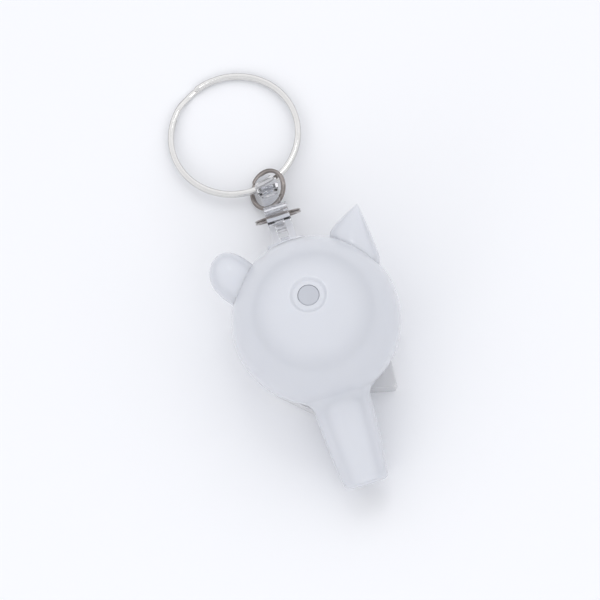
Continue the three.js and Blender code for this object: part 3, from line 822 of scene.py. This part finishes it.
def cell_piece(name, node):
    low, high = (Vector(corner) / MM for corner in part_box(node))
    radius, half = (high.x - low.x) / 2, (high.y - low.y) / 2
    profile = [(0, -half), (radius - 0.4, -half)] + arc(radius - 0.3, -half + 0.3, 0.3, -90, 0, 6)
    profile += arc(radius - 0.25, half - 0.35, 0.25, 0, 90, 6)
    profile += [(radius - 0.5, half - 0.1), (radius - 0.55, half - 0.28), (radius - 0.8, half - 0.28)]
    profile += [(radius - 0.85, half - 0.04), (radius - 0.95, half), (0, half)]
    cell = revolve(name, profile, MEDIUM)
    return turned(cell, spin(-90, "X"), Matrix.Translation((low + high) / 2))


def lamp_piece(sizes):
    base = sizes.snout_length / MM - LAMP_LENGTH - LAMP_FROM_NOSE
    radius, flange = LAMP_RADIUS, LAMP_FLANGE_RADIUS
    profile = [(0, base), (flange - 0.1, base), (flange, base + 0.1), (flange, base + 0.9)]
    profile += [(flange - 0.1, base + 1.0), (radius, base + 1.05)]
    profile += arc(0, base + LAMP_LENGTH - radius, radius, 0, 90, 24)
    profile[-1] = (0, profile[-1][1])
    lamp = along_snout(sizes, revolve("lamp_lens", profile, MEDIUM))
    return turned(lamp, shift(0, 0, body_centre(sizes)))


def screw_piece(sizes, name, side):
    seat = head_seat(sizes)
    top = seat - SCREW_HEAD_HEIGHT
    tip = seat + SCREW_LENGTH
    core, crest, pitch = SCREW_SHANK_RADIUS - 0.22, SCREW_SHANK_RADIUS, 0.6
    profile = [(0, top), (0.9, top + 0.02)] + arc(SCREW_HEAD_RADIUS - 0.5, top + 0.5, 0.5, -75, 0, 8)
    profile += [(SCREW_HEAD_RADIUS, seat - 0.05), (SCREW_HEAD_RADIUS - 0.05, seat), (core, seat)]
    height = seat + 0.5
    while height < tip - 1.2:
        profile += [(core, height), (crest, height + pitch / 2 - 0.08), (crest, height + pitch / 2 + 0.08)]
        height += pitch
    profile += [(core, tip - 1.1), (core * 0.7, tip - 0.5), (0, tip)]
    screw = revolve(name, profile, 48)
    for low, high in (((-1.05, -0.2), (1.05, 0.2)), ((-0.2, -1.05), (0.2, 1.05))):
        combine(screw, block("drive", (*low, top - 1), (*high, top + 0.75)), "DIFFERENCE")
    return turned(screw_line(sizes, screw, side), shift(0, 0, body_centre(sizes)))


# ------------------------------------------------------------------ operators


class MOUSE_OT_shells(bpy.types.Operator):
    """Builds the two halves of the body"""

    bl_idname = "mouse.shells"
    bl_label = "Body Shells"

    def execute(self, context):
        sizes, chain = context.scene.mouse_body, context.scene.mouse_chain
        lift = shift(0, 0, body_centre(sizes))
        skin = milky_plastic(context.scene.mouse_colours)
        fit(turned(upper_shell(sizes), lift), "mouse_body", "milky_plastic", skin, "upper_shell")
        fit(turned(lower_shell(sizes, chain), lift), "mouse_body", "milky_plastic", skin, "lower_shell")
        return {"FINISHED"}


class MOUSE_OT_ears(bpy.types.Operator):
    """Builds the round left ear and the pointed right ear"""

    bl_idname = "mouse.ears"
    bl_label = "Ears"

    def execute(self, context):
        sizes = context.scene.mouse_body
        lift = shift(0, 0, body_centre(sizes))
        skin = milky_plastic(context.scene.mouse_colours)
        for name, side, shape in (("left", -1, context.scene.mouse_ear_left),
                                  ("right", 1, context.scene.mouse_ear_right)):
            ear = turned(ear_piece(sizes, shape, f"ear_{name}_moulding", side), lift)
            fit(ear, "mouse_body", "milky_plastic", skin, f"ear_{name}")
        return {"FINISHED"}


class MOUSE_OT_feet(bpy.types.Operator):
    """Builds the two clear front feet"""

    bl_idname = "mouse.feet"
    bl_label = "Feet"

    def execute(self, context):
        sizes = context.scene.mouse_body
        clear = cloudy_plastic(context.scene.mouse_colours)
        lift = shift(0, 0, body_centre(sizes))
        for name, side in (("left", -1), ("right", 1)):
            foot = turned(foot_piece(sizes, f"foot_{name}_moulding", f"foot_{name}", side), lift)
            fit(foot, "mouse_body", "clear_plastic", clear, f"foot_{name}")
        return {"FINISHED"}


class MOUSE_OT_button(bpy.types.Operator):
    """Builds the push button and the switch under it"""

    bl_idname = "mouse.button"
    bl_label = "Button and Switch"

    def execute(self, context):
        sizes, colours = context.scene.mouse_body, context.scene.mouse_colours
        button = turned(button_piece(sizes), shift(0, 0, body_centre(sizes)))
        fit(button, "button", "button_grey", button_grey(colours), "button")
        low, high = (Vector(corner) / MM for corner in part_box("switch_plunger"))
        radius = (high.x - low.x) / 2
        profile = [(0, low.z), (radius - 0.1, low.z), (radius, low.z + 0.1)]
        profile += arc(radius - 0.25, high.z - 0.25, 0.25, 0, 90, 6) + [(0, high.z)]
        plunger = revolve("switch_plunger_cap", profile, MEDIUM)
        fit(plunger, "switch_plunger", "white_plastic", white_plastic(colours), "switch_plunger")
        return {"FINISHED"}


class MOUSE_OT_works(bpy.types.Operator):
    """Builds the lamp, cells and screws and finishes the other inner pieces"""

    bl_idname = "mouse.works"
    bl_label = "Lamp Works"

    def execute(self, context):
        sizes, colours = context.scene.mouse_body, context.scene.mouse_colours
        for place in ("front", "middle", "rear"):
            cell = cell_piece(f"cell_{place}_can", f"cell_{place}")
            fit(cell, "mouse_body", "cell_steel", cell_steel(colours), f"cell_{place}")
        fit(lamp_piece(sizes), "mouse_body", "lamp_resin", lamp_resin(colours), "lamp")
        for name, side in (("left", -1), ("right", 1)):
            screw = screw_piece(sizes, f"case_screw_{name}_thread", side)
            fit(screw, "mouse_body", "screw_steel", zinc_plate(colours), f"case_screw_{name}")
        kept = {
            "switch_body": (black_plastic, 0.12), "battery_cradle": (black_plastic, 0.15),
            "circuit_board": (board_green, 0.06), "contact_front": (tinned_metal, 0.05),
            "contact_rear": (tinned_metal, 0.05), "lamp_lead_left": (tinned_metal, 0.02),
            "lamp_lead_right": (tinned_metal, 0.02),
        }
        for node, (finish, width) in kept.items():
            piece = frame["nodes"][node]
            dress_node(piece, finish(colours))
            soften = piece.modifiers.new("soft edges", "BEVEL")
            soften.width = width * MM
            soften.segments = 2
            soften.limit_method = "ANGLE"
            soften.angle_limit = radians(35)
        return {"FINISHED"}


def dress_node(piece, material_):
    for slot in piece.material_slots:
        slot.material = material_


class MOUSE_OT_chain(bpy.types.Operator):
    """Builds the tail lug, the link and the three rings"""

    bl_idname = "mouse.chain"
    bl_label = "Tail Lug and Chain"

    def execute(self, context):
        sizes, chain, colours = context.scene.mouse_body, context.scene.mouse_chain, context.scene.mouse_colours
        clear, plate, dark_reflection = clear_plastic(colours), nickel_plate(colours), dark_reflection_plate(colours)
        lug = turned(tail_lug(sizes, chain), Matrix.Translation(joint_place("lug_ring_swing")))
        fit(lug, "mouse_body", "clear_plastic", clear, "tail_lug")
        link = turned(link_moulding(), spin(degrees(chain.link_pitch), "X"),
                      Matrix.Translation(joint_place("link_swing")))
        fit(link, "link", "clear_plastic", clear, "link")
        rings = (
            ("lug_ring", chain.lug_ring, chain.small_band, SMALL_RING_HEIGHT, 200,
             [spin(90 + degrees(chain.lug_ring_lean), "X")]),
            ("link_ring", chain.small_ring, chain.small_band, SMALL_RING_HEIGHT, 150,
             [spin(-degrees(chain.link_ring_roll), "Y"), spin(degrees(chain.link_ring_pitch), "X")]),
            ("split_ring", chain.key_ring, chain.key_band, KEY_RING_HEIGHT, 128,
             [spin(degrees(chain.key_ring_pitch), "X")]),
        )
        for node, radius, band, height, step_at, turns in rings:
            ring = split_ring(f"{node}_wire", radius / MM, band / MM, height, step_at)
            turned(ring, *turns, Matrix.Translation(centre(node) / MM))
            # The small rings take the dark plate, whose colour is painted reflection of dark surroundings.
            fit(ring, node, "ring_steel", plate if node == "split_ring" else dark_reflection, node)
        return {"FINISHED"}


class MOUSE_OT_stage(bpy.types.Operator):
    """Makes the pale floor, the soft lights and the camera"""

    bl_idname = "mouse.stage"
    bl_label = "Stage"

    def execute(self, context):
        scene = context.scene
        make_floor(scene.mouse_colours)
        make_lights(scene)
        make_camera(scene)
        return {"FINISHED"}


def make_floor(colours):
    half = 1500.0
    floor = mesh_piece("floor", [(x * half * MM, y * half * MM, 0) for x, y in ((-1, -1), (1, -1), (1, 1), (-1, 1))],
                       [(0, 1, 2, 3)])
    base = tuple(colours.floor)
    dress(floor, material("floor_paper", base, shade(base, 0.985), 0.7, spread=0.1, grain=900.0, bump=0.02,
                          drift=6.0, amount=0.6))


def area_light(name, place, target, size, power, tint=(1, 1, 1)):
    data = bpy.data.lights.new(name, "AREA")
    data.shape = "DISK"
    data.size = size
    data.energy = power
    data.color = tint
    light = bpy.data.objects.new(name, data)
    light.location = place
    light.rotation_euler = (Vector(target) - Vector(place)).to_track_quat("-Z", "Y").to_euler()
    bpy.context.scene.collection.objects.link(light)
    return light


def make_lights(scene):
    scene.view_settings.view_transform = "Standard"
    world = bpy.data.worlds.new("studio")
    scene.world = world
    world.use_nodes = True
    tree = world.node_tree
    background = tree.nodes["Background"]
    background.inputs["Strength"].default_value = 0.95
    direction = tree.nodes.new("ShaderNodeTexCoord").outputs["Generated"]
    parts = tree.nodes.new("ShaderNodeSeparateXYZ")
    ramp = tree.nodes.new("ShaderNodeValToRGB")
    tree.links.new(direction, parts.inputs[0])
    tree.links.new(parts.outputs["Z"], ramp.inputs["Fac"])
    stops = ramp.color_ramp.elements
    stops[0].position, stops[0].color = 0.0, (0.10, 0.10, 0.11, 1)
    stops[1].position, stops[1].color = 1.0, (0.85, 0.855, 0.88, 1)
    for place, level in ((0.3, 0.6), (0.55, 1.25), (0.8, 1.1)):
        stops.new(place).color = (level, level, level * 1.02, 1)
    tree.links.new(ramp.outputs["Color"], background.inputs["Color"])
    target = centre("upper_shell")
    key = area_light("key_light", target + Vector((0.20, 0.34, 0.56)), target, 0.42, 0.3)
    key.visible_glossy = False
    fill = area_light("fill_light", target + Vector((-0.45, -0.35, 0.30)), target, 0.30, 0.25)
    fill.visible_glossy = False
    front = area_light("front_light", target + Vector((0.10, -0.46, 0.38)), target, 0.16, 0.2)
    front.visible_glossy = False
    area_light("glint_light", target + Vector((0.06, 0.24, 0.546)), target, 0.06, 0.08)


def make_camera(scene):
    """The camera looks down at the standing mouse from 71 degrees, rolled so that the snout points low right."""
    back, side = CAMERA_BACK, Vector((1, 0, 0))
    up = back.cross(side)
    roll = radians(CAMERA_ROLL)
    right = side * cos(roll) - up * sin(roll)
    above = side * sin(roll) + up * cos(roll)
    distance, view_width = 1.2, 0.1095
    aim = Vector((0, 0, body_centre(scene.mouse_body) * MM)) - right * 0.00296 + above * 0.00370
    data = bpy.data.cameras.new("studio_camera")
    data.sensor_width = 36.0
    data.lens = 36.0 * distance / view_width
    data.clip_start, data.clip_end = 0.01, 20.0
    camera = bpy.data.objects.new("studio_camera", data)
    basis = Matrix((right, above, back)).transposed()
    camera.matrix_world = Matrix.Translation(aim + back * distance) @ basis.to_4x4()
    scene.collection.objects.link(camera)
    scene.camera = camera


class MOUSE_PT_panel(bpy.types.Panel):
    """Lists the steps that build the mouse"""

    bl_idname = "MOUSE_PT_panel"
    bl_label = "Mouse Light"
    bl_space_type = "VIEW_3D"
    bl_region_type = "UI"
    bl_category = "Mouse"

    def draw(self, context):
        for step in STEPS:
            self.layout.operator(step.bl_idname)


GROUPS = (MouseBodySizes, MouseEarSizes, MouseChainSizes, MouseColours)
SETTINGS = {"mouse_body": MouseBodySizes, "mouse_ear_left": MouseEarSizes, "mouse_ear_right": MouseEarSizes,
            "mouse_chain": MouseChainSizes, "mouse_colours": MouseColours}
STEPS = (MOUSE_OT_stage, MOUSE_OT_shells, MOUSE_OT_ears, MOUSE_OT_feet, MOUSE_OT_button, MOUSE_OT_works,
         MOUSE_OT_chain)


def register():
    for kind in (*GROUPS, *STEPS, MOUSE_PT_panel):
        bpy.utils.register_class(kind)
    for name, kind in SETTINGS.items():
        setattr(bpy.types.Scene, name, PointerProperty(type=kind))


def unregister():
    for name in SETTINGS:
        delattr(bpy.types.Scene, name)
    for kind in (MOUSE_PT_panel, *reversed(STEPS), *GROUPS):
        bpy.utils.unregister_class(kind)


def main():
    register()
    pointed = bpy.context.scene.mouse_ear_right
    pointed.turn, pointed.lean, pointed.flatness = radians(43.7), 0.46, 0.55
    pointed.reach, pointed.base = 6.9 * MM, 5.2 * MM
    pointed.fullness, pointed.roundness = 1.15, 1.0
    for step in STEPS:
        family, name = step.bl_idname.split(".")
        getattr(getattr(bpy.ops, family), name)()


if __name__ == "__main__":
    main()
